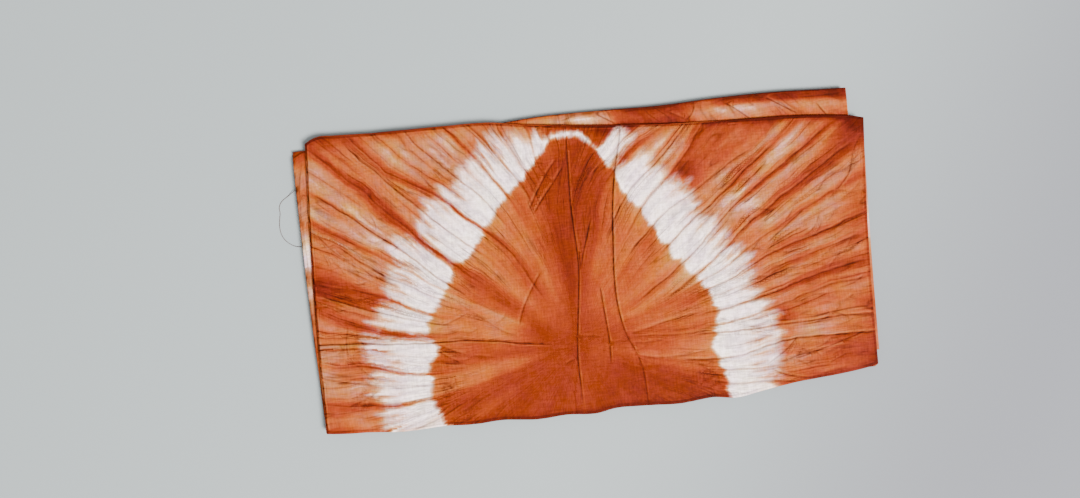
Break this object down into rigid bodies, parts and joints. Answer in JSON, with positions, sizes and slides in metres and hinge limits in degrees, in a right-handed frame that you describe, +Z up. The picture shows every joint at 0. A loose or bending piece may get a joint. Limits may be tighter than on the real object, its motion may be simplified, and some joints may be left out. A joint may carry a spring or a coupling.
{
  "type": "folded tie-dyed silk fabric",
  "caption": "Length of resist-dyed silk, doubled and folded flat into a low rectangular stack, with a loose thread at its cut edge.",
  "frame": {"origin": "on the surface that the cloth lies on, under the middle of the folded cloth", "axes": "+X along the folded length towards the lengthwise fold, +Y towards the back edge, +Z up"},
  "size_m": [0.6114, 0.3149, 0.0133],
  "materials": {
    "dyed_silk": "satin",
    "silk_thread": "satin"
  },
  "bodies": {
    "root": {"folded_cloth": "dyed_silk", "loose_thread": "silk_thread"}
  },
  "joints": []
}
